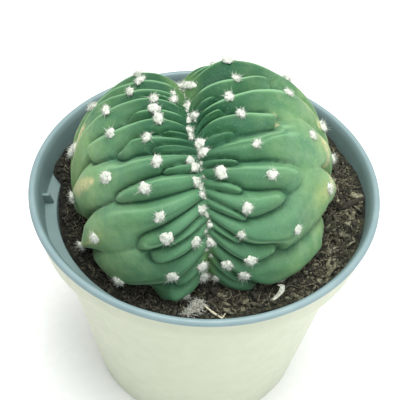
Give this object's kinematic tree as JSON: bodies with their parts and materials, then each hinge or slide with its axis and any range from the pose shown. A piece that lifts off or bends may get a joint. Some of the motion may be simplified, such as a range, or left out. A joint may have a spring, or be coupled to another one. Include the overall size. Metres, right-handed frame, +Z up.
{
  "type": "potted crested cactus",
  "caption": "Round plastic nursery pot filled with dark peat, holding a crested cactus: a low grooved dome of folded ribs with white woolly tufts and short spines.",
  "frame": {"origin": "centre of the pot's underside, on the surface that the pot stands on", "axes": "+Z up out of the pot, +X to the right and -Y towards the front of the plant as pictured"},
  "size_m": [0.1298, 0.1298, 0.1397],
  "materials": {
    "pot": "smooth moulded blue-grey plastic with a soft sheen",
    "soil": "rough dark peat with fibres and crumbs",
    "plant": "waxy blue-green skin, lighter on the rib crests, with white wool and spines",
    "straw": "pale dry straw",
    "dried_flower": "grey-white dried wool and scales",
    "dried_petal": "thin dry petal"
  },
  "bodies": {
    "root": {"pot": "pot", "soil": "soil", "crested_cactus": "plant", "dry_straw": "straw", "dried_flower": "dried_flower", "dried_petal": "dried_petal"}
  },
  "joints": []
}
